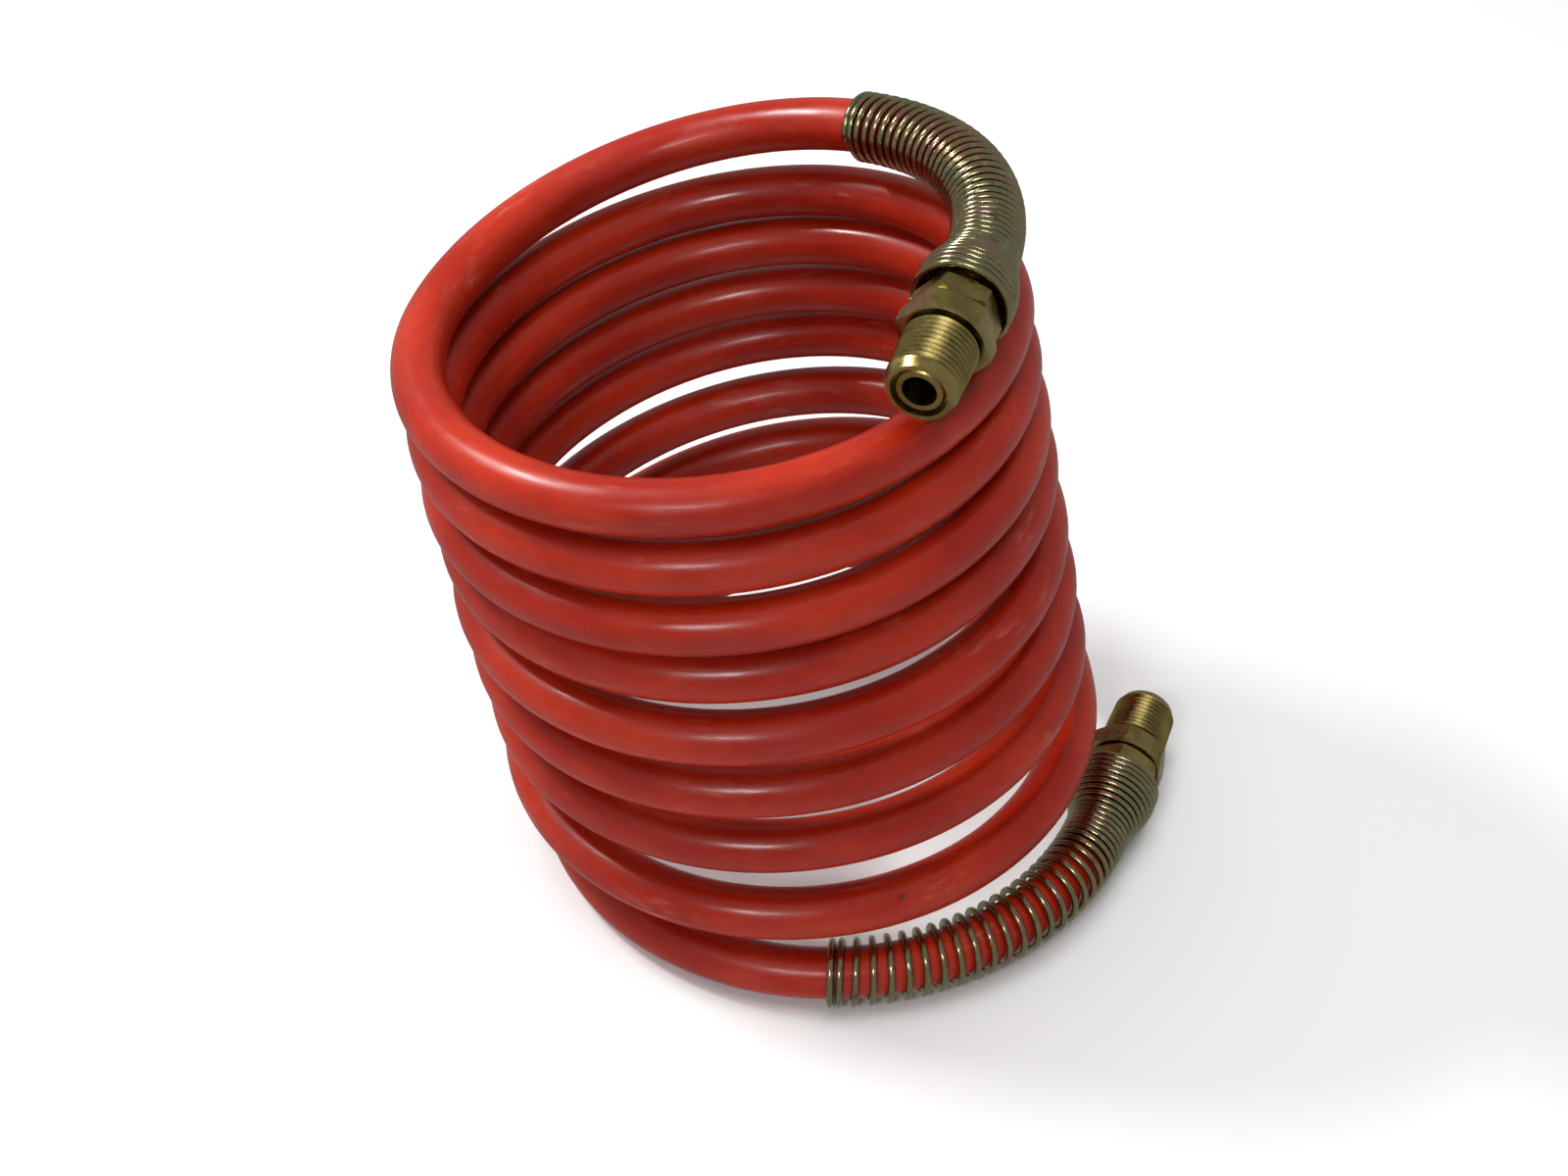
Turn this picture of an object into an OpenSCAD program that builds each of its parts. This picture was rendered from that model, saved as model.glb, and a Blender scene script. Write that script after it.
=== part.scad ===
// Coiled nylon air hose with a spring guard and a male swivel nipple on each end.
// The coil stands on its end on the plane z = 0 and leans a little to the left (-X).
// Millimetres, +Z up. The origin is on the ground, in the middle of the footprint.

/* [Hose] */
// Outside diameter of the hose
hose_od = 12.7; // [12.6:0.05:12.75]
// Inside diameter of the hose
hose_bore = 9.5; // [9.4:0.05:9.6]

/* [Coil] */
// Distance from the coil's axis to the middle of the hose, at the ground
coil_radius = 72.4; // [72.2:0.1:72.6]
// Sideways lean of the coil's axis for each millimetre of height
coil_lean = 0.165; // [0.155:0.005:0.17]
// Height of one turn near the top, where the turns lie closed
closed_pitch = 13.5; // [13.4:0.1:13.7]
// Extra height of the lowest turn, where the coil has sagged open
open_rise = 11; // [9:0.5:12]
// How far the right side of a turn stands above its left side
turn_rise = 20; // [19.5:0.1:20.5]

/* [Leads] */
// Bend radius of the lead that runs along the ground
bottom_bend = 73; // [72:0.5:74]
// Upward tilt of the lowest lead, in degrees
bottom_tilt = 2.06; // [2.04:0.01:2.2]
// Upward tilt of the top lead, in degrees
top_tilt = 14.4; // [14.3:0.1:14.8]

/* [Spring guard] */
// Outside diameter of the guard along the hose
guard_od = 17; // [16:0.2:17]
// Inside diameter of the guard along the hose
guard_bore = 13.8; // [13.4:0.1:14]
// Outside diameter of the guard's flared mouth
mouth_od = 23; // [22.4:0.1:23]
// Inside diameter of the guard's flared mouth
mouth_bore = 19.8; // [19.6:0.1:20]
// Length of the bottom guard and fitting, from the first coil to the nipple's mouth
bottom_guard_reach = 135; // [120:1:140]
// Length of the top guard and fitting, from the first coil to the nipple's mouth
top_guard_reach = 123; // [110:1:130]

/* [Swivel nipple] */
// Length of the tapered pipe thread
thread_length = 15; // [14:0.5:15]
// Outside diameter of the thread next to the hexagon
thread_od = 17.1; // [16.8:0.1:17.2]
// Width of the nipple's hexagon across the flats
nipple_hex = 19.05; // [18:0.05:19.2]
// Outside diameter of the stem inside the nipple
stem_od = 9.8; // [9.6:0.1:10]
// Diameter of the air passage
air_passage = 7.6; // [6:0.1:8]
// Radial clearance between the turning nipple and its stem
swivel_clearance = 0.05; // [0.03:0.01:0.08]
// Width of the compression nut's hexagon across the flats
nut_hex = 17.5; // [17:0.1:17.6]

/* [Hidden] */
$fn = 96;
turns = 8;

// Place of the coil's foot, which puts the origin in the middle of the footprint
foot = [1.1, 4.45];
// The lowest turn lies this far to the right of the axis
foot_shift = 5.3;
// The sag is concentrated near the ground with this power
sag_power = 1.8;
// Narrowing of the coil with height
coil_taper = 0.027;
// Share of turn_rise that is missing on the lowest turn, and how fast it comes back
settled_share = 0.39;
settled_decay = 0.3;
// How far the hose lies behind the axis where each turn crosses its plane, from the ground up:
// the turns have slipped a little on each other, and the top ones are drawn back
left_set_back = [0, -7, 0, 1, 1.5, 2.5, 2.5, 7.5, 13];
right_set_back = [0, 3, 0, -3, -5.5, -0.5, -3.5, -2.5, -3];

// Positions along a fitting, measured back from the nipple's mouth
relief_width = 1.2;
hex_front = thread_length + relief_width;
hex_back = hex_front + 6;
flange_front = hex_back + 0.7;
flange_back = flange_front + 1.5;
nut_hex_back = flange_front + 5.6;
nut_back = flange_front + 9.9;
mouth_at = nut_hex_back - 0.5;
flare_end = mouth_at + 9;

// Stretches of tube stop this far short of each other, and a collar joins them
joint_cut = 0.1;
// Each turn's ends stop this far short of the next piece of hose
end_cut = 0.4;
splice_length = 0.8;
splice_excess = 0.1;

thread_pitch = 25.4 / 18;
thread_depth = 0.9;
thread_taper = 1 / 32;
axial_play = 0.05;
counterbore_depth = 2;
counterbore_od = 12.4;
lip_od = 11;
flange_od = 14.8;
ferrule_od = 14;
hose_clearance = 0.05;
overshoot = 1;

red = [0.72, 0.08, 0.07];
steel = [0.62, 0.56, 0.42];
brass = [0.70, 0.58, 0.32];
black = [0.08, 0.08, 0.08];

// Height of the hose's middle where it lies on the ground
ground_height = (hose_od + splice_excess) / 2;

// ---- Coil: each turn crosses the plane through the foot once on each side ----

// Height of the hose's middle on the right side, counted in turns from the ground
function right_height(turn) =
    turn == 0
        ? ground_height
        : right_height(turn - 1) + closed_pitch
            + open_rise * pow(max(0, 1 - (turn - 1) / turns), sag_power);

// The same on the left side
function left_height(turn) =
    turn == 0
        ? ground_height
        : (right_height(turn) + right_height(turn + 1)) / 2
            - turn_rise * (1 - settled_share * pow(settled_decay, turn));

// Middle of the hose where a turn crosses the plane: side is -1 on the left, 1 on the right
function crossing(side, height, set_back, shift) =
    [
        foot.x + shift - coil_lean * height + side * (coil_radius - coil_taper * height),
        foot.y + set_back,
        height
    ];
function left_crossing(turn) =
    crossing(-1, left_height(turn), left_set_back[turn], turn == 0 ? foot_shift : 0);
function right_crossing(turn) = crossing(1, right_height(turn), right_set_back[turn], 0);

module tube_section(outside, inside)
{
    difference() {
        circle(d = outside);
        circle(d = inside);
    }
}

// Short collar along Z that joins two stretches of tube into one solid
module splice(outside, inside)
{
    translate([0, 0, -splice_length / 2])
        linear_extrude(splice_length)
            tube_section(outside + splice_excess, inside - splice_excess);
}

// Half a turn of hose between a crossing on the left and one on the right
module half_turn(left, right, start_angle)
{
    across = right - left;
    radius = norm(across) / 2;
    cut_angle = end_cut / radius * 180 / PI;
    translate((left + right) / 2)
        rotate([0, -atan2(across.z, norm([across.x, across.y])), atan2(across.y, across.x)])
            rotate_extrude(angle = 180 - 2 * cut_angle, start = start_angle + cut_angle)
                translate([radius, 0])
                    tube_section(hose_od, hose_bore);
}

// A turn comes round the back from the turn below and goes on across the front to the left
module back_turn(turn)
{
    color(red)
        half_turn(left_crossing(turn - 1), right_crossing(turn), 0);
}

module front_turn(turn)
{
    color(red)
        half_turn(left_crossing(turn), right_crossing(turn), 180);
}

// ---- Leads: a list of stretches, [length, turn in degrees], left turns positive ----

function straight(length) = [length, 0];
function bend(radius, turn) = [radius * abs(turn) * PI / 180, turn];

bottom_heading = -90;
bottom_path = [straight(4), bend(bottom_bend, 157), straight(44.5)];
top_heading = 80;
top_path = [bend(68.5, -139), bend(58, -52.5), straight(42)];

function path_length(path, count) = count == 0 ? 0 : path_length(path, count - 1) + path[count - 1][0];
function total_length(path) = path_length(path, len(path));

// Signed radius of a bent stretch
function bend_radius(stretch) = stretch[0] / (stretch[1] * PI / 180);

// Place and heading [x, y, angle] at the start of a stretch, the path starting at angle first
function pose(path, index, first) =
    index == 0
        ? [0, 0, first]
        : let (from = pose(path, index - 1, first), stretch = path[index - 1])
            onward(from, stretch, stretch[0]);

// Place and heading after a distance along one stretch
function onward(from, stretch, distance) =
    let (angle = from.z)
    stretch[1] == 0
        ? [from.x + distance * cos(angle), from.y + distance * sin(angle), angle]
        : let (
            radius = bend_radius(stretch),
            next = angle + stretch[1] * distance / stretch[0]
        )
            [
                from.x + radius * (sin(next) - sin(angle)),
                from.y + radius * (cos(angle) - cos(next)),
                next
            ];

// Turns a tube drawn along Z to lie along a heading at a place in the plane
module heading_along(place)
{
    translate([place.x, place.y, 0])
        rotate([90, 0, place.z + 90])
            children();
}

// Tube along a path, between two distances from its start
module tube_along(path, first, low, high, outside, inside)
{
    for (index = [0:len(path) - 1]) {
        stretch = path[index];
        before = path_length(path, index);
        after = before + stretch[0];
        begin = max(before > low ? joint_cut : 0, low - before);
        finish = min(after < high ? stretch[0] - joint_cut : stretch[0], high - before);
        if (finish > begin) {
            from = onward(pose(path, index, first), stretch, begin);
            if (stretch[1] == 0) {
                heading_along(from)
                    linear_extrude(finish - begin)
                        tube_section(outside, inside);
            } else {
                radius = bend_radius(stretch);
                sweep = abs(stretch[1]) * (finish - begin) / stretch[0];
                start = radius > 0 ? from.z - 90 : from.z + 90 - sweep;
                translate([from.x - radius * sin(from.z), from.y + radius * cos(from.z), 0])
                    rotate_extrude(angle = sweep, start = start)
                        translate([abs(radius), 0])
                            tube_section(outside, inside);
            }
            if (before > low)
                heading_along(pose(path, index, first))
                    splice(outside, inside);
        }
    }
}

// Puts its children in a lead's own tilted plane, at the lead's start
module in_bottom_plane()
{
    translate(left_crossing(0))
        rotate([0, -bottom_tilt, 0])
            children();
}

module in_top_plane()
{
    translate(left_crossing(turns))
        rotate([0, -top_tilt, 0])
            children();
}

// Puts its children at the nipple's mouth, with +Z pointing out of it
module at_mouth(path, first)
{
    mouth = pose(path, len(path), first);
    translate([mouth.x, mouth.y, 0])
        rotate([0, 90, mouth.z])
            children();
}

module at_bottom_mouth() { in_bottom_plane() at_mouth(bottom_path, bottom_heading) children(); }
module at_top_mouth() { in_top_plane() at_mouth(top_path, top_heading) children(); }

module bottom_lead()
{
    reach = total_length(bottom_path);
    color(red)
        in_bottom_plane()
            tube_along(bottom_path, bottom_heading, end_cut, reach - flange_back, hose_od, hose_bore);
}

module top_lead()
{
    reach = total_length(top_path);
    color(red)
        in_top_plane()
            tube_along(top_path, top_heading, end_cut, reach - flange_back, hose_od, hose_bore);
}

// ---- Spring guard: an envelope of the wound wire, flared over the nut ----

module guard_flare()
{
    translate([0, 0, -flare_end])
        splice(guard_od, guard_bore);
    rotate_extrude()
        polygon([
            [guard_bore / 2, joint_cut - flare_end],
            [guard_od / 2, joint_cut - flare_end],
            [mouth_od / 2, -mouth_at],
            [mouth_bore / 2, -mouth_at]
        ]);
}

// The straight-walled part of a guard, from its first coil up to the flare
module guard_sleeve(path, first, low)
{
    tube_along(path, first, low, total_length(path) - flare_end, guard_od, guard_bore);
}

module bottom_guard()
{
    reach = total_length(bottom_path);
    color(steel) {
        in_bottom_plane()
            guard_sleeve(bottom_path, bottom_heading, reach - bottom_guard_reach);
        at_bottom_mouth() guard_flare();
    }
}

module top_guard()
{
    reach = total_length(top_path);
    color(steel) {
        in_top_plane()
            guard_sleeve(top_path, top_heading, reach - top_guard_reach);
        at_top_mouth() guard_flare();
    }
}

// ---- Fitting pieces, drawn with the nipple's mouth at z = 0 and the hose towards -Z ----

// Round bar with its corners cut at 30 degrees, used to trim a hexagon's corners
module hex_trim(across_flats, front, back)
{
    corner = across_flats / sqrt(3);
    flat = across_flats / 2 * 0.98;
    depth = (corner - flat) * tan(30);
    rotate_extrude()
        polygon([
            [0, -front],
            [flat, -front],
            [corner, -front - depth],
            [corner, -back + depth],
            [flat, -back],
            [0, -back]
        ]);
}

module hexagon(across_flats, front, back)
{
    intersection() {
        translate([0, 0, -back])
            cylinder(d = across_flats / cos(30), h = back - front, $fn = 6);
        hex_trim(across_flats, front, back);
    }
}

// Bore along the fitting's axis, between two distances from the mouth
module bore(diameter, front, back)
{
    translate([0, 0, -back])
        cylinder(d = diameter, h = back - front);
}

// Radius of the tapered thread's crests at a distance from the mouth
function crest(distance) = thread_od / 2 - (thread_length - distance) * thread_taper;

// The thread, drawn as rings: a crest and a root for every pitch
module thread_rings()
{
    rings = floor((thread_length - 1) / thread_pitch);
    first = thread_length - rings * thread_pitch;
    rotate_extrude()
        polygon(concat(
            [[0, 0], [crest(0) - thread_depth, 0]],
            [for (ring = [0:rings - 1]) for (side = [0, 1])
                let (distance = first + (ring + side / 2) * thread_pitch)
                    [crest(distance) - side * thread_depth, -distance]],
            [[crest(thread_length), -thread_length], [0, -thread_length]]
        ));
}

module nipple()
{
    color(brass)
        difference() {
            union() {
                thread_rings();
                bore(thread_od - 2 * thread_depth, thread_length, hex_front);
                hexagon(nipple_hex, hex_front, hex_back);
            }
            bore(stem_od + 2 * swivel_clearance, -overshoot, hex_back + overshoot);
            bore(counterbore_od, -overshoot, counterbore_depth);
            bore(counterbore_od, hex_front + 1.5, hex_front + 3.5);
        }
}

module o_ring()
{
    color(black)
        translate([0, 0, -hex_front - 2.5])
            rotate_extrude()
                translate([(counterbore_od + stem_od) / 4, 0])
                    circle(d = (counterbore_od - stem_od) / 2 - 2 * swivel_clearance, $fn = 32);
}

module thrust_washer()
{
    color(brass)
        difference() {
            bore(flange_od, hex_back + axial_play, flange_front - axial_play);
            bore(stem_od + 0.4, hex_back - overshoot, flange_front + overshoot);
        }
}

// Stem: rolled lip, the tube that the nipple turns on, a flange and a barbed insert
module stem()
{
    insert_od = hose_bore;
    barb_root = insert_od - 0.6;
    barbs = 4;
    barb_pitch = 3;
    lip_back = counterbore_depth - axial_play;
    color(brass)
        difference() {
            rotate_extrude()
                polygon(concat(
                    [
                        [0, -0.6],
                        [lip_od / 2 - 0.5, -0.6],
                        [lip_od / 2, -1.1],
                        [lip_od / 2, -lip_back],
                        [stem_od / 2, -lip_back],
                        [stem_od / 2, -flange_front],
                        [flange_od / 2, -flange_front],
                        [flange_od / 2, -flange_back]
                    ],
                    [for (barb = [0:barbs - 1]) for (side = [0, 1])
                        [(side == 0 ? insert_od : barb_root) / 2, -flange_back - (barb + side) * barb_pitch]],
                    [[0, -flange_back - barbs * barb_pitch]]
                ));
            bore(air_passage, -overshoot, flange_back + barbs * barb_pitch + overshoot);
        }
}

module nut()
{
    seat_back = nut_hex_back + 1;
    color(brass)
        difference() {
            union() {
                hexagon(nut_hex, flange_front, nut_hex_back);
                bore(guard_od - 1, nut_hex_back, nut_back);
            }
            bore(flange_od + 0.1, flange_front - overshoot, flange_back + 0.1);
            bore(ferrule_od + 0.1, flange_back, seat_back);
            translate([0, 0, -nut_back])
                cylinder(d1 = hose_od + 0.1, d2 = ferrule_od + 0.1, h = nut_back - seat_back);
            bore(hose_od + 0.1, seat_back, nut_back + overshoot);
        }
}

module ferrule()
{
    front = flange_back + 0.6;
    shoulder = nut_hex_back + 0.9;
    back = shoulder + 2;
    inside = hose_od / 2 + hose_clearance / 2;
    color(brass)
        rotate_extrude()
            polygon([
                [inside, -front],
                [ferrule_od / 2, -front],
                [ferrule_od / 2, -shoulder],
                [inside + 0.25, -back],
                [inside, -back]
            ]);
}

// ---- Nodes ----

bottom_lead();
back_turn(1);  // back_turn_1
front_turn(1);  // front_turn_1
back_turn(2);  // back_turn_2
front_turn(2);  // front_turn_2
back_turn(3);  // back_turn_3
front_turn(3);  // front_turn_3
back_turn(4);  // back_turn_4
front_turn(4);  // front_turn_4
back_turn(5);  // back_turn_5
front_turn(5);  // front_turn_5
back_turn(6);  // back_turn_6
front_turn(6);  // front_turn_6
back_turn(7);  // back_turn_7
front_turn(7);  // front_turn_7
back_turn(8);  // back_turn_8
front_turn(8);  // front_turn_8
top_lead();

bottom_guard();
at_bottom_mouth() nut();  // bottom_nut
at_bottom_mouth() ferrule();  // bottom_ferrule
at_bottom_mouth() stem();  // bottom_stem
at_bottom_mouth() thrust_washer();  // bottom_thrust_washer
at_bottom_mouth() o_ring();  // bottom_o_ring
at_bottom_mouth() nipple();  // bottom_nipple

top_guard();
at_top_mouth() nut();  // top_nut
at_top_mouth() ferrule();  // top_ferrule
at_top_mouth() stem();  // top_stem
at_top_mouth() thrust_washer();  // top_thrust_washer
at_top_mouth() o_ring();  // top_o_ring
at_top_mouth() nipple();  // top_nipple
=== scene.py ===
"""Coiled nylon air hose with spring guards and swivel nipples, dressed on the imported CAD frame.

Lengths are millimetres in the design functions, which repeat part.scad, and metres in Blender.
"""
import math

import bpy
import numpy as np
from mathutils import Matrix, Vector


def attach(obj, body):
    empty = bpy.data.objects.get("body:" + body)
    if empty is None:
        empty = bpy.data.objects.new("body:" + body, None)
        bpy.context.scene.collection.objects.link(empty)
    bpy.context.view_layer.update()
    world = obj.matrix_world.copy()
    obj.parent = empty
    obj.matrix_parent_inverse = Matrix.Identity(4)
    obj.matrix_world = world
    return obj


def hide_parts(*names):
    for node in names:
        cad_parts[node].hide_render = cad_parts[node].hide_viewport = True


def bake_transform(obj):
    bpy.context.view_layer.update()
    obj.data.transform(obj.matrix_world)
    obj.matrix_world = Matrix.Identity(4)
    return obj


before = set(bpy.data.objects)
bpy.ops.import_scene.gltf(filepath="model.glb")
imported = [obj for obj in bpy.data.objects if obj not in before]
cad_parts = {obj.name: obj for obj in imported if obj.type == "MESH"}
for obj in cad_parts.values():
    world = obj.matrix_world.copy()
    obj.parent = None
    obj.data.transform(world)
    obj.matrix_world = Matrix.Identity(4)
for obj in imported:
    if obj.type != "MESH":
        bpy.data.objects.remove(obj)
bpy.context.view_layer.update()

MM = 0.001

# ---- Camera: where the photographer stood, in metres ----

CAMERA_PLACE = (-0.0071, -0.41385, 0.4393)
CAMERA_DOWN = 41.72
CAMERA_ROLL = -1.03
CAMERA_LENS = 50.98
CAMERA_SENSOR = 36


def make_camera():
    data = bpy.data.cameras.new("camera")
    data.lens = CAMERA_LENS
    data.sensor_width = CAMERA_SENSOR
    data.clip_start = 0.01
    camera = bpy.data.objects.new("camera", data)
    bpy.context.scene.collection.objects.link(camera)
    tilt = Matrix.Rotation(math.radians(90 - CAMERA_DOWN), 4, "X")
    roll = Matrix.Rotation(math.radians(CAMERA_ROLL), 4, "Z")
    camera.matrix_world = Matrix.Translation(CAMERA_PLACE) @ tilt @ roll
    bpy.context.scene.camera = camera


make_camera()

# ---- Design numbers in millimetres and degrees, as in part.scad ----

TURNS = 8
HOSE_OD = 12.7
GROUND_HEIGHT = 6.4
CLOSED_PITCH = 13.5
OPEN_RISE = 11
TURN_RISE = 20
SAG_POWER = 1.8
SETTLED_SHARE = 0.39
SETTLED_DECAY = 0.3
COIL_RADIUS = 72.4
COIL_TAPER = 0.027
COIL_LEAN = 0.165
FOOT_X = 1.1
FOOT_Y = 4.45
# How far the hose lies behind the axis where each turn crosses its plane, from the ground up
LEFT_SET_BACK = (0, -7, 0, 1, 1.5, 2.5, 2.5, 7.5, 13)
RIGHT_SET_BACK = (0, 3, 0, -3, -5.5, -0.5, -3.5, -2.5, -3)
FOOT_SHIFT = 5.3
BOTTOM_TILT = 2.06
BOTTOM_HEADING = -90
TOP_TILT = 14.4
TOP_HEADING = 80
# Distances back from a nipple's mouth: the guard's first coil, the guard's mouth, the hose's end
GUARD_REACH = {"bottom": 135, "top": 123}
MOUTH_AT = 28
HOSE_END = 24.4


# A lead is a list of stretches, (length, turn in degrees), left turns positive


def straight(length):
    return (length, 0)


def bend(radius, turn):
    return (radius * math.radians(abs(turn)), turn)


BOTTOM_PATH = (straight(4), bend(73, 157), straight(44.5))
TOP_PATH = (bend(68.5, -139), bend(58, -52.5), straight(42))


def right_height(turn):
    """Height of the hose's middle on the right side of the coil, counted in turns."""
    height = GROUND_HEIGHT
    for below in range(turn):
        height += CLOSED_PITCH + OPEN_RISE * max(0, 1 - below / TURNS) ** SAG_POWER
    return height


def left_height(turn):
    """The same on the left side, which has sagged."""
    if turn == 0:
        return GROUND_HEIGHT
    middle = (right_height(turn) + right_height(turn + 1)) / 2
    return middle - TURN_RISE * (1 - SETTLED_SHARE * SETTLED_DECAY**turn)


def crossing(side, height, set_back, shift=0):
    """Middle of the hose where a turn crosses the plane through the foot, on side -1 or 1."""
    across = FOOT_X + shift - COIL_LEAN * height
    return np.array(
        [across + side * (COIL_RADIUS - COIL_TAPER * height), FOOT_Y + set_back, height]
    )


def left_crossing(turn):
    return crossing(-1, left_height(turn), LEFT_SET_BACK[turn], FOOT_SHIFT if turn == 0 else 0)


def right_crossing(turn):
    return crossing(1, right_height(turn), RIGHT_SET_BACK[turn])


# ---- The hose's middle line, from the bottom nipple's mouth to the top one ----

# Distance from one point of the line to the next, and how often its kinks are smoothed
STEP = 2.8
EASE_ROUNDS = 4


def half_turn(start, end, side):
    """Half a turn from one crossing to the next, through the front (side -1) or the back (1)."""
    across = (end - start) / 2
    radius = np.linalg.norm(across)
    count = round(math.pi * radius / STEP)
    angles = np.linspace(0, math.pi, count + 1)[1:]
    flat = np.array([-across[1], across[0], 0]) * math.copysign(1, across[0])
    outward = side * radius * flat / np.linalg.norm(flat)
    return [(start + end) / 2 - across * math.cos(a) + outward * math.sin(a) for a in angles]


def lead_points(start, tilt, heading, path):
    """Points along a lead in its own tilted plane, the start left out."""
    tilt = math.radians(tilt)
    heading = math.radians(heading)
    place = np.zeros(2)
    flat = []
    for length, turn in path:
        count = max(2, round(length / STEP))
        curve = math.radians(turn) / length
        for index in range(1, count + 1):
            along = length * index / count
            half = curve * along / 2
            chord = along * (math.sin(half) / half if turn else 1)
            toward = np.array([math.cos(heading + half), math.sin(heading + half)])
            flat.append(place + chord * toward)
        place = flat[-1]
        heading += math.radians(turn)
    return [start + np.array([x * math.cos(tilt), y, x * math.sin(tilt)]) for x, y in flat]


def eased(points):
    """Rounds off the slight kinks where one stretch meets the next."""
    for _ in range(EASE_ROUNDS):
        points[1:-1] += (points[:-2] + points[2:] - 2 * points[1:-1]) / 4
    return points


def hose_line():
    """All the points, and the index of each point where the hose crosses the coil's plane."""
    points = lead_points(left_crossing(0), BOTTOM_TILT, BOTTOM_HEADING, BOTTOM_PATH)[::-1]
    points.append(left_crossing(0))
    marks = {"left_0": len(points) - 1}
    for turn in range(1, TURNS + 1):
        points += half_turn(left_crossing(turn - 1), right_crossing(turn), 1)
        marks[f"right_{turn}"] = len(points) - 1
        points += half_turn(right_crossing(turn), left_crossing(turn), -1)
        marks[f"left_{turn}"] = len(points) - 1
    points += lead_points(left_crossing(TURNS), TOP_TILT, TOP_HEADING, TOP_PATH)
    return eased(np.array(points)), marks


LINE, MARKS = hose_line()


def unit(vectors):
    return vectors / np.linalg.norm(vectors, axis=-1, keepdims=True)


DISTANCE = np.concatenate([[0], np.cumsum(np.linalg.norm(np.diff(LINE, axis=0), axis=1))])
TANGENT = unit(np.gradient(LINE, DISTANCE, axis=0))
SIDE = unit(np.cross(TANGENT, [0, 0, 1]))
UP = np.cross(SIDE, TANGENT)
TOTAL = DISTANCE[-1]


def at(distance, values):
    """A value of the line at some distances from the bottom mouth."""
    return np.stack([np.interp(distance, DISTANCE, values[:, k]) for k in range(3)], axis=-1)


def index_at(distance):
    return int(np.argmin(abs(DISTANCE - distance)))


# ---- Meshes ----


def link(obj):
    bpy.context.scene.collection.objects.link(obj)
    return obj


def tube_mesh(name, centres, sides, ups, radius, count, closed_ends):
    """A tube of rings round the centres.

    Returns the mesh object, each vertex's outward normal and the angles round a ring.
    """
    angles = np.linspace(0, 2 * math.pi, count, endpoint=False)
    cosines = np.cos(angles)[None, :, None]
    sines = np.sin(angles)[None, :, None]
    out = sides[:, None] * cosines + ups[:, None] * sines
    rings = centres[:, None] + radius * out
    length = len(centres)
    vertices = rings.reshape(-1, 3) * MM
    faces = []
    for ring in range(length - 1):
        for k in range(count):
            low = ring * count
            after = (k + 1) % count
            faces.append((low + k, low + count + k, low + count + after, low + after))
    if closed_ends:
        faces.append(tuple(range(count)))
        faces.append(tuple((length - 1) * count + k for k in reversed(range(count))))
    mesh = bpy.data.meshes.new(name)
    mesh.from_pydata(vertices.tolist(), [], faces)
    mesh.polygons.foreach_set("use_smooth", [True] * len(faces))
    mesh.update()
    return link(bpy.data.objects.new(name, mesh)), out.reshape(-1, 3), angles


HOSE_SIDES = 40


def hose_piece(name, first, last):
    """One length of the hose's skin. Its place on the unrolled wall is stored for the material."""
    part = slice(first, last + 1)
    obj, normals, angles = tube_mesh(
        name, LINE[part], SIDE[part], UP[part], HOSE_OD / 2, HOSE_SIDES, False
    )
    mesh = obj.data
    mesh.normals_split_custom_set_from_vertices(normals.tolist())
    along = np.repeat(DISTANCE[part], HOSE_SIDES)
    around = np.tile(angles, last + 1 - first)
    radius = HOSE_OD / 2
    place = np.stack([along, radius * np.cos(around), radius * np.sin(around)], axis=1) * MM
    attribute = mesh.attributes.new("hose_place", "FLOAT_VECTOR", "POINT")
    attribute.data.foreach_set("vector", place.astype(np.float32).ravel())
    mesh.materials.append(materials["hose"])
    return obj


# The guards' wire, and the radius of its middle along the hose and at the flare's mouth
WIRE = 1.7
WIRE_SIDES = 10
STEPS_PER_COIL = 30
NARROW_WIND = 7.65
WIDE_WIND = 10.65
CLOSE_PITCH = 1.73
COILS = {"bottom": 37, "top": 40}
# Counted in coils: where the guard opens, how long it takes to close up again, and the closed flare
OPEN_START = (0.8, 2.5)
CLOSING_COILS = 9
FLARE_COILS = 13
# Metres of wire in a coil, near enough for the material
WIRE_IN_COIL = 0.05


def guard_wind(reach, coil):
    """Distance from the mouth of the nipple, for a number of coils counted from the open end.

    The coils start closed, open at once, and close up again gradually towards the flare.
    """
    length = reach - MOUTH_AT - WIRE
    opening = smooth((coil - OPEN_START[0]) / (OPEN_START[1] - OPEN_START[0]))
    closing = smooth((coil[-1] - FLARE_COILS - coil) / CLOSING_COILS)
    opened = np.cumsum(opening * closing)
    gap = length - coil[-1] * CLOSE_PITCH
    return reach - WIRE / 2 - coil * CLOSE_PITCH - gap * opened / opened[-1]


def smooth(value):
    value = np.clip(value, 0, 1)
    return value * value * (3 - 2 * value)


# The flare widens between these distances from the nipple's mouth
FLARE_FROM = 47
FLARE_TO = 33


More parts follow.
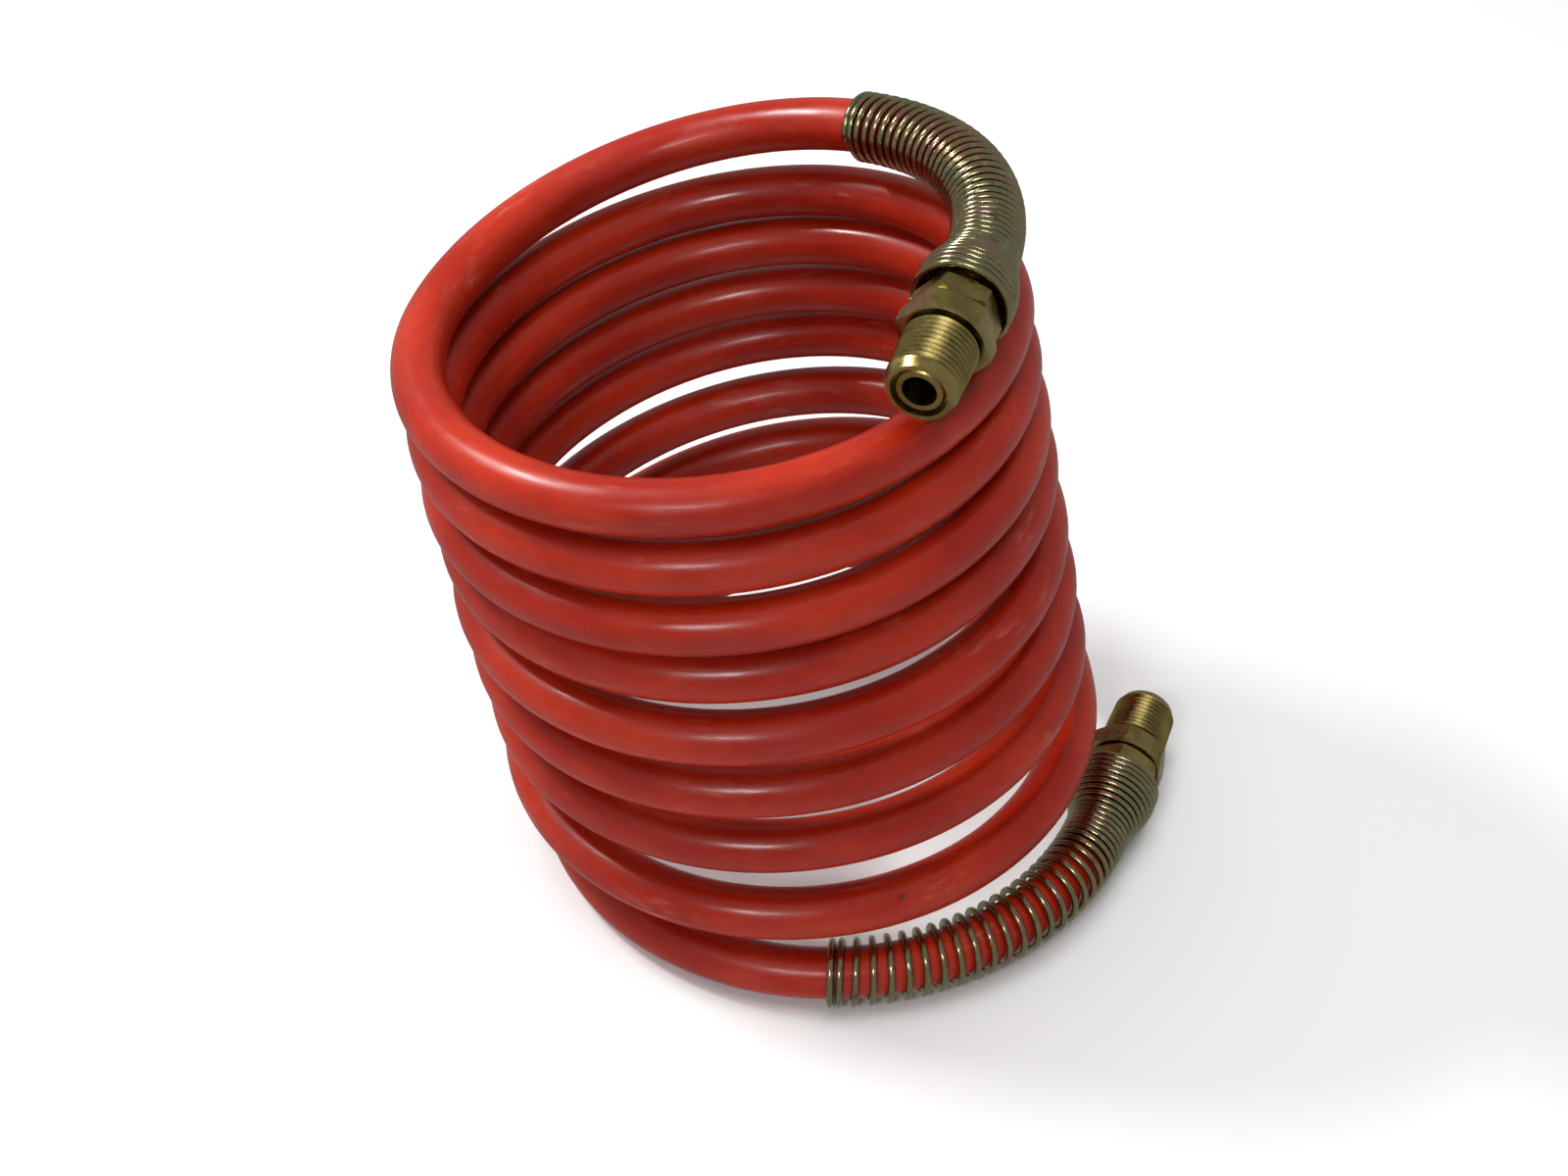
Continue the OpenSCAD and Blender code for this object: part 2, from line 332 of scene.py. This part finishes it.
def guard_piece(end):
    """The wound wire of one spring guard."""
    coil = np.linspace(0, COILS[end], COILS[end] * STEPS_PER_COIL + 1)
    back = guard_wind(GUARD_REACH[end], coil)
    distance = back if end == "bottom" else TOTAL - back
    flared = smooth((FLARE_FROM - back) / (FLARE_FROM - FLARE_TO))
    radius = NARROW_WIND + (WIDE_WIND - NARROW_WIND) * flared
    middle = at(distance, LINE)
    side = at(distance, SIDE)
    up = at(distance, UP)
    turn = 2 * math.pi * coil * (-1 if end == "bottom" else 1)
    out = side * np.cos(turn)[:, None] + up * np.sin(turn)[:, None]
    wire = middle + out * radius[:, None]
    forward = unit(np.gradient(wire, axis=0))
    sideways = unit(np.cross(forward, out))
    outward = np.cross(sideways, forward)
    name = f"{end}_guard_wire"
    obj, _, _ = tube_mesh(name, wire, sideways, outward, WIRE / 2, WIRE_SIDES, True)
    place = np.stack([coil * WIRE_IN_COIL, turn, np.zeros_like(coil)], axis=1)
    place = np.repeat(place, WIRE_SIDES, axis=0).astype(np.float32)
    attribute = obj.data.attributes.new("wire_place", "FLOAT_VECTOR", "POINT")
    attribute.data.foreach_set("vector", place.ravel())
    obj.data.materials.append(materials["guard"])
    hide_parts(f"{end}_guard")
    return obj


# ---- Materials ----


class Nodes:
    """Short calls for building one material's node tree."""

    def __init__(self, name):
        self.material = bpy.data.materials.new(name)
        self.material.use_nodes = True
        self.tree = self.material.node_tree
        self.shader = self.tree.nodes["Principled BSDF"]

    def node(self, kind, **inputs):
        made = self.tree.nodes.new(kind)
        for key, value in inputs.items():
            self.plug(made.inputs[key.replace("_", " ")], value)
        return made

    def plug(self, socket, value):
        if isinstance(value, bpy.types.NodeSocket):
            self.tree.links.new(value, socket)
        else:
            socket.default_value = value

    def place(self, attribute=None):
        if attribute:
            made = self.node("ShaderNodeAttribute")
            made.attribute_name = attribute
            return made.outputs["Vector"]
        return self.node("ShaderNodeTexCoord").outputs["Object"]

    def stretched(self, vector, scale):
        made = self.node("ShaderNodeMapping", Vector=vector)
        made.inputs["Scale"].default_value = scale
        return made.outputs["Vector"]

    def noise(self, vector, scale, detail=3, roughness=0.55):
        made = self.node("ShaderNodeTexNoise", Vector=vector)
        made.inputs["Scale"].default_value = scale
        made.inputs["Detail"].default_value = detail
        made.inputs["Roughness"].default_value = roughness
        return made.outputs["Fac"]

    def between(self, value, low, high, out_low=0.0, out_high=1.0):
        made = self.node("ShaderNodeMapRange", Value=value)
        made.interpolation_type = "SMOOTHSTEP"
        made.inputs["From Min"].default_value = low
        made.inputs["From Max"].default_value = high
        made.inputs["To Min"].default_value = out_low
        made.inputs["To Max"].default_value = out_high
        return made.outputs["Result"]

    def times(self, first, second):
        made = self.tree.nodes.new("ShaderNodeMath")
        made.operation = "MULTIPLY"
        self.plug(made.inputs[0], first)
        self.plug(made.inputs[1], second)
        return made.outputs[0]

    def mix(self, factor, first, second):
        made = self.tree.nodes.new("ShaderNodeMix")
        made.data_type = "RGBA"
        self.plug(made.inputs["Factor"], factor)
        self.plug(made.inputs[6], first)
        self.plug(made.inputs[7], second)
        return made.outputs[2]

    def painted_crevice_shade(self, reach, low, high):
        """Ambient occlusion used for painted shade: 1 in the open and 0 deep in a groove of the
        piece's own shape.
        """
        made = self.node("ShaderNodeAmbientOcclusion")
        made.samples = 6
        made.only_local = True
        made.inputs["Distance"].default_value = reach
        return self.between(made.outputs["AO"], low, high)

    def bump(self, height, strength, distance):
        made = self.node("ShaderNodeBump", Height=height)
        made.inputs["Strength"].default_value = strength
        made.inputs["Distance"].default_value = distance
        return made.outputs["Normal"]

    def set(self, **values):
        for key, value in values.items():
            self.plug(self.shader.inputs[key.replace("_", " ")], value)


def hose_material():
    n = Nodes("red_nylon")
    place = n.place("hose_place")
    cloudy = n.noise(n.stretched(place, (0.5, 1, 1)), 55, 4)
    grain = n.noise(n.stretched(place, (0.35, 1, 1)), 900, 3)
    base = n.mix(n.between(cloudy, 0.35, 0.68), (0.29, 0.010, 0.002, 1), (0.41, 0.021, 0.004, 1))
    base = n.mix(n.times(n.between(grain, 0.35, 0.75), 0.25), base, (0.22, 0.007, 0.002, 1))
    # Pale dust and rubbed patches
    rubbed = n.between(n.noise(n.stretched(place, (0.35, 1, 1)), 95, 6, 0.65), 0.56, 0.74)
    fine = n.between(n.noise(n.stretched(place, (0.18, 1, 1)), 620, 4, 0.7), 0.42, 0.7)
    dusty = n.times(n.times(rubbed, fine), 0.5)
    base = n.mix(dusty, base, (0.56, 0.21, 0.14, 1))
    # Sparse dark scuffs
    speck = n.between(n.noise(n.stretched(place, (0.55, 1, 1)), 330, 3, 0.6), 0.70, 0.75)
    patch = n.between(n.noise(place, 24, 2), 0.50, 0.62)
    dark = n.times(n.times(speck, patch), 0.7)
    base = n.mix(dark, base, (0.035, 0.012, 0.012, 1))
    gloss = n.between(n.noise(n.stretched(place, (0.4, 1, 1)), 140, 5, 0.6), 0.3, 0.75, 0.22, 0.48)
    n.set(
        Base_Color=base,
        Roughness=gloss,
        Normal=n.bump(n.noise(n.stretched(place, (0.2, 1, 1)), 1100, 3), 0.12, 0.0002),
    )
    n.shader.inputs["IOR"].default_value = 1.42
    n.shader.inputs["Subsurface Weight"].default_value = 0.12
    n.shader.inputs["Subsurface Radius"].default_value = (0.004, 0.0008, 0.0004)
    n.shader.inputs["Subsurface Scale"].default_value = 1.0
    n.shader.inputs["Coat Weight"].default_value = 0.10
    n.shader.inputs["Coat Roughness"].default_value = 0.16
    return n.material


def guard_material():
    n = Nodes("yellow_zinc_wire")
    place = n.place("wire_place")
    here = n.place()
    # Olive and greenish plating
    tint = n.noise(here, 75, 3)
    base = n.mix(n.between(tint, 0.35, 0.62), (0.36, 0.28, 0.14, 1), (0.30, 0.30, 0.15, 1))
    # Pink sheen on some stretches of wire
    pink = n.between(n.noise(n.stretched(place, (1, 0.35, 1)), 2.4, 3), 0.50, 0.66)
    base = n.mix(n.times(pink, 0.55), base, (0.42, 0.22, 0.20, 1))
    # Plating worn pale, grime, and painted shade, near black, in the crevices between the coils
    worn = n.between(n.noise(here, 420, 4), 0.5, 0.72)
    base = n.mix(n.times(worn, 0.35), base, (0.55, 0.50, 0.38, 1))
    grime = n.between(n.noise(here, 240, 4), 0.58, 0.72)
    base = n.mix(n.times(grime, 0.5), base, (0.10, 0.07, 0.04, 1))
    # Painted shade: near black where ambient occlusion finds the gaps between the coils
    base = n.mix(n.painted_crevice_shade(0.0016, 0.30, 0.72), (0.020, 0.014, 0.008, 1), base)
    n.set(Base_Color=base, Roughness=n.between(worn, 0, 1, 0.18, 0.34))
    n.shader.inputs["Metallic"].default_value = 1.0
    return n.material


def brass_material(name, bright, dull, dirt):
    n = Nodes(name)
    here = n.place()
    patchy = n.noise(here, 170, 4)
    base = n.mix(n.between(patchy, 0.32, 0.68), bright, dull)
    spots = n.between(n.noise(here, 900, 4, 0.65), 0.60, 0.72)
    base = n.mix(n.times(spots, dirt), base, (0.10, 0.07, 0.025, 1))
    # Painted shade: near black in the thread's grooves and the seats, found by ambient occlusion
    base = n.mix(n.painted_crevice_shade(0.0014, 0.35, 0.80), (0.030, 0.021, 0.008, 1), base)
    n.set(
        Base_Color=base,
        Roughness=n.between(n.noise(here, 400, 4), 0.3, 0.7, 0.20, 0.40),
        Normal=n.bump(n.noise(here, 2600, 2), 0.10, 0.0001),
    )
    n.shader.inputs["Metallic"].default_value = 1.0
    return n.material


def rubber_material():
    n = Nodes("black_rubber")
    here = n.place()
    base = n.mix(n.noise(here, 300, 3), (0.012, 0.012, 0.012, 1), (0.03, 0.03, 0.03, 1))
    n.set(Base_Color=base, Roughness=n.between(n.noise(here, 600, 3), 0.3, 0.7, 0.55, 0.75))
    return n.material


def floor_material():
    n = Nodes("pale_floor")
    n.set(Base_Color=(0.86, 0.86, 0.86, 1), Roughness=0.7)
    return n.material


materials = {
    "hose": hose_material(),
    "guard": guard_material(),
    "brass": brass_material("dull_brass", (0.44, 0.34, 0.11, 1), (0.28, 0.22, 0.075, 1), 0.65),
    # A darker copy of the brass, with fewer dirt spots; the darkness is painted shade for the pieces
    # inside the mouths
    "shaded_inner_brass": brass_material("clean_and_shaded_brass", (0.40, 0.29, 0.10, 1), (0.26, 0.19, 0.065, 1), 0.5),
    "rubber": rubber_material(),
    "floor": floor_material(),
}

# ---- The hose, a piece for each stretch that moves with one body or between two ----


def body_of_turn(turn):
    """The body on which a turn rides; turn 0 is the bottom lead, and past the last comes the top."""
    if turn == 0:
        return "ground_end"
    return f"turn_{turn}" if turn <= TURNS else "top_end"


def make_hose():
    ground = MARKS["left_0"]
    lead = hose_piece(
        "hose_bottom_lead",
        index_at(HOSE_END),
        ground,
    )
    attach(lead, "ground_end")
    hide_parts("bottom_lead")
    for turn in range(1, TURNS + 1):
        low = MARKS[f"left_{turn - 1}"]
        right = MARKS[f"right_{turn}"]
        high = MARKS[f"left_{turn}"]
        back = hose_piece(f"hose_back_{turn}", low, right)
        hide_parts(f"back_turn_{turn}")
        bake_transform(back)
        front = hose_piece(f"hose_front_{turn}", right, high)
        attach(front, body_of_turn(turn))
        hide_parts(f"front_turn_{turn}")
    top = MARKS[f"left_{TURNS}"]
    guard = index_at(TOTAL - GUARD_REACH["top"])
    arch = hose_piece("hose_top_arch", top, guard)
    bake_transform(arch)
    end = hose_piece(
        "hose_top_lead",
        guard,
        index_at(TOTAL - HOSE_END),
    )
    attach(end, "top_end")
    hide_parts("top_lead")


make_hose()
for guard_end, guard_body in (("bottom", "ground_end"), ("top", "top_end")):
    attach(guard_piece(guard_end), guard_body)


def dress(node, material):
    """Gives a CAD node its finish."""
    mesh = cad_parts[node].data
    mesh.materials.clear()
    mesh.materials.append(materials[material])


for fitting_end in ("bottom", "top"):
    for fitting_piece in ("nipple", "nut"):
        dress(f"{fitting_end}_{fitting_piece}", "brass")
    # The inner pieces get the darker brass, which paints the shade inside the fittings' mouths
    for fitting_piece in ("stem", "ferrule", "thrust_washer"):
        dress(f"{fitting_end}_{fitting_piece}", "shaded_inner_brass")
    dress(f"{fitting_end}_o_ring", "rubber")

# ---- Floor and light ----


FLOOR_HALF = 3.0
WORLD_LIGHT = 0.32
COIL_MIDDLE = (0, 0, 0.08)


def make_floor():
    mesh = bpy.data.meshes.new("floor")
    corners = [(x * FLOOR_HALF, y * FLOOR_HALF, 0) for x, y in ((-1, -1), (1, -1), (1, 1), (-1, 1))]
    mesh.from_pydata(corners, [], [(0, 1, 2, 3)])
    mesh.materials.append(materials["floor"])
    floor = link(bpy.data.objects.new("floor", mesh))
    floor.visible_glossy = False


def make_area_light(name, place, aim, size, power, in_reflections=True):
    data = bpy.data.lights.new(name, "AREA")
    data.shape = "RECTANGLE"
    data.size = size[0]
    data.size_y = size[1]
    data.energy = power
    light = link(bpy.data.objects.new(name, data))
    light.visible_glossy = in_reflections
    light.location = place
    toward = Vector(aim) - light.location
    light.rotation_euler = toward.to_track_quat("-Z", "Y").to_euler()


def make_world():
    world = bpy.data.worlds.new("studio")
    world.use_nodes = True
    background = world.node_tree.nodes["Background"]
    background.inputs["Color"].default_value = (1, 1, 1, 1)
    background.inputs["Strength"].default_value = WORLD_LIGHT
    bpy.context.scene.world = world
    bpy.context.scene.view_settings.view_transform = "Standard"


make_floor()
make_world()
make_area_light("overhead", (0, 0.1, 1.7), (0, 0, 0), (1.6, 1.6), 22, False)
make_area_light("key", (-0.55, 0.20, 0.80), COIL_MIDDLE, (0.22, 0.06), 6)
make_area_light("fill", (-0.3, -0.8, 0.8), COIL_MIDDLE, (0.25, 0.10), 3)
